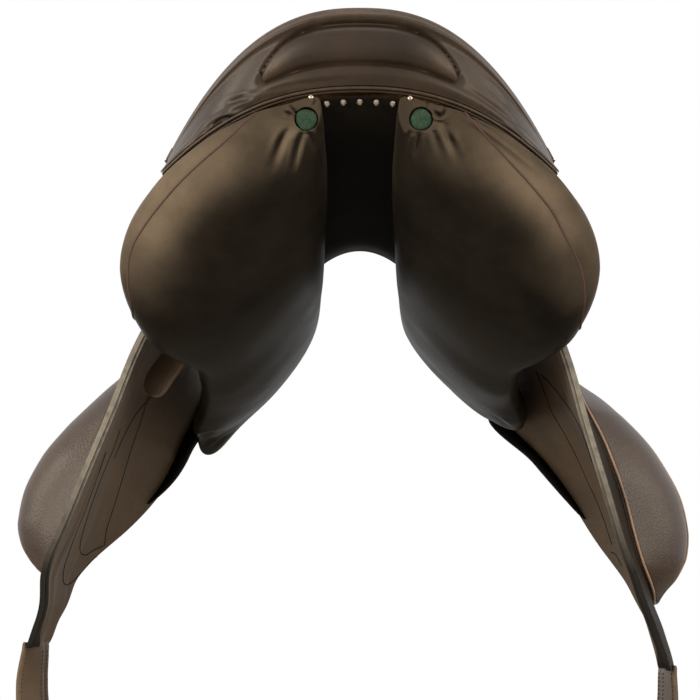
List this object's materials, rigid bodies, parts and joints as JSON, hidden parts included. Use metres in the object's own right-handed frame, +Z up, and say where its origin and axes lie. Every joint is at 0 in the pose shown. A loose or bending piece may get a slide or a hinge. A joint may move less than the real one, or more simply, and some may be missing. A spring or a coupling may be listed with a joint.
{
  "type": "jumping saddle",
  "caption": "Close-contact jumping saddle with padded seat, flocked panels, hinged flaps with knee blocks, lifting skirts and hanging girth billets.",
  "frame": {"origin": "on the underside of the channel's roof, under the lowest point of the seat", "axes": "+Z up, +Y towards the horse's head (pommel), +X to the rider's right"},
  "size_m": [0.5849, 0.5034, 0.786],
  "materials": {
    "brown_leather": "smooth waxed calf leather, dark brown",
    "grained_leather": "fine-grained leather, dark brown",
    "suede_leather": "matt grained leather on the sweat side",
    "black_leather": "matt black leather",
    "green_felt": "pressed wool felt, green",
    "linen_web": "woven linen web",
    "foam": "open-cell foam",
    "beech": "laminated beech, sealed",
    "tree_steel": "sheet steel",
    "polished_steel": "polished steel"
  },
  "bodies": {
    "tree": {"bar_rivet_left_1": "polished_steel", "bar_rivet_left_2": "polished_steel", "bar_rivet_right_1": "polished_steel", "bar_rivet_right_2": "polished_steel", "cantle_crescent_pad": "grained_leather", "cantle_facing": "brown_leather", "cantle_welt": "brown_leather", "channel_cover": "black_leather", "channel_nail_1": "polished_steel", "channel_nail_2": "polished_steel", "channel_nail_3": "polished_steel", "channel_nail_4": "polished_steel", "channel_nail_5": "polished_steel", "flock_plug_left": "green_felt", "flock_plug_right": "green_felt", "gullet_plate": "tree_steel", "head_plate": "tree_steel", "keeper_tab_left": "brown_leather", "keeper_tab_right": "brown_leather", "panel_left": "brown_leather", "panel_right": "brown_leather", "point_pocket_left": "brown_leather", "point_pocket_right": "brown_leather", "seat_cover": "brown_leather", "seat_foam": "foam", "stirrup_bar_left": "polished_steel", "stirrup_bar_right": "polished_steel", "tree_cantle": "beech", "tree_head": "beech", "tree_rail_left": "beech", "tree_rail_right": "beech", "tree_spring_left": "tree_steel", "tree_spring_right": "tree_steel", "web_across": "linen_web", "web_along": "linen_web"},
    "flap_left": {"flap_left": "brown_leather", "flap_lining_left": "suede_leather", "billet_web_left": "linen_web", "knee_block_left": "grained_leather", "front_pad_left": "black_leather"},
    "skirt_left": {"skirt_left": "brown_leather"},
    "catch_left": {"bar_catch_left": "polished_steel"},
    "billet_front_left": {"billet_front_left": "brown_leather"},
    "billet_rear_left": {"billet_rear_left": "brown_leather"},
    "flap_right": {"flap_right": "brown_leather", "flap_lining_right": "suede_leather", "billet_web_right": "linen_web", "knee_block_right": "grained_leather", "front_pad_right": "black_leather"},
    "skirt_right": {"skirt_right": "brown_leather"},
    "catch_right": {"bar_catch_right": "polished_steel"},
    "billet_front_right": {"billet_front_right": "brown_leather"},
    "billet_rear_right": {"billet_rear_right": "brown_leather"}
  },
  "joints": [
    {"name": "flap_lift_left", "type": "hinge", "parent": "tree", "child": "flap_left", "pos_m": [-0.0965, 0, 0.029], "axis": [0.1152, 0.9929, 0.0298], "range_deg": [0, 55]},
    {"name": "skirt_lift_left", "type": "hinge", "parent": "flap_left", "child": "skirt_left", "pos_m": [-0.0965, 0, 0.029], "axis": [0.1152, 0.9929, 0.0298], "range_deg": [0, 50]},
    {"name": "catch_lift_left", "type": "hinge", "parent": "tree", "child": "catch_left", "pos_m": [-0.0816, 0.0654, 0.0095], "axis": [-1, 0, 0], "range_deg": [0, 75]},
    {"name": "billet_front_bend_left", "type": "hinge", "parent": "flap_left", "child": "billet_front_left", "pos_m": [-0.28296, 0.05787, -0.33892], "axis": [-0.001, 1, 0.0042], "range_deg": [-25, 25]},
    {"name": "billet_rear_bend_left", "type": "hinge", "parent": "flap_left", "child": "billet_rear_left", "pos_m": [-0.28293, 0.02887, -0.33904], "axis": [-0.001, 1, 0.0042], "range_deg": [-25, 25]},
    {"name": "flap_lift_right", "type": "hinge", "parent": "tree", "child": "flap_right", "pos_m": [0.0965, 0, 0.029], "axis": [0.1152, -0.9929, -0.0298], "range_deg": [0, 55]},
    {"name": "skirt_lift_right", "type": "hinge", "parent": "flap_right", "child": "skirt_right", "pos_m": [0.0965, 0, 0.029], "axis": [0.1152, -0.9929, -0.0298], "range_deg": [0, 50]},
    {"name": "catch_lift_right", "type": "hinge", "parent": "tree", "child": "catch_right", "pos_m": [0.0816, 0.0654, 0.0095], "axis": [-1, 0, 0], "range_deg": [0, 75]},
    {"name": "billet_front_bend_right", "type": "hinge", "parent": "flap_right", "child": "billet_front_right", "pos_m": [0.26517, 0.05374, -0.35911], "axis": [0.0024, -1, 0.0082], "range_deg": [-25, 25]},
    {"name": "billet_rear_bend_right", "type": "hinge", "parent": "flap_right", "child": "billet_rear_right", "pos_m": [0.26524, 0.02474, -0.35888], "axis": [0.0024, -1, 0.0082], "range_deg": [-25, 25]}
  ]
}
